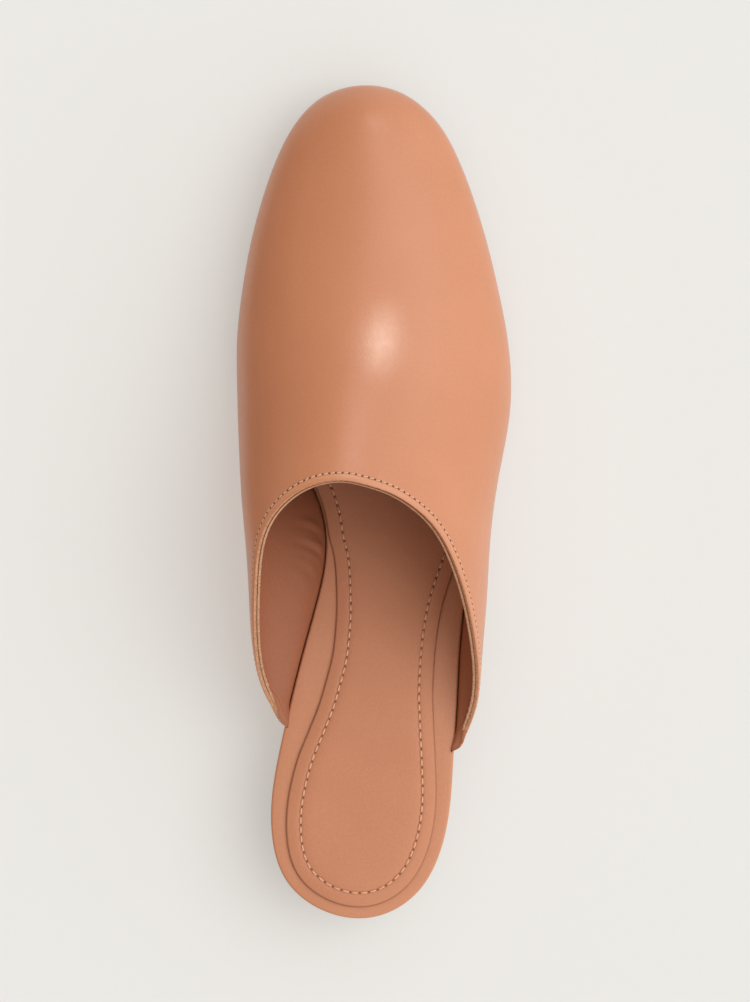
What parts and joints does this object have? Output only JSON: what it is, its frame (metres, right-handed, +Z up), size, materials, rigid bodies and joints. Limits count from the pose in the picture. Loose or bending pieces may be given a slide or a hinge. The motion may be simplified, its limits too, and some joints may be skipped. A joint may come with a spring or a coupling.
{
  "type": "mule shoe",
  "caption": "Backless smooth leather mule with a rounded toe, closed vamp, stitched sock lining and low block heel.",
  "frame": {"origin": "bottom centre of the shoe's box, on the floor", "axes": "+Y from heel to toe, +X to the outer (lateral) side of the right foot, +Z up"},
  "size_m": [0.0822, 0.2486, 0.0625],
  "materials": {
    "upper_leather": "smooth semi-gloss calf leather, tan nude",
    "insole_wrap": "thin smooth leather wrapped over the board",
    "sock_leather": "soft matt lining leather, stitched",
    "sole_leather": "smooth sole leather, waxed edge",
    "heel_stack": "stacked leather lifts, polished, with a thin top piece"
  },
  "bodies": {
    "root": {"upper": "upper_leather", "insole": "insole_wrap", "sock": "sock_leather", "outsole": "sole_leather", "heel": "heel_stack"}
  },
  "joints": []
}
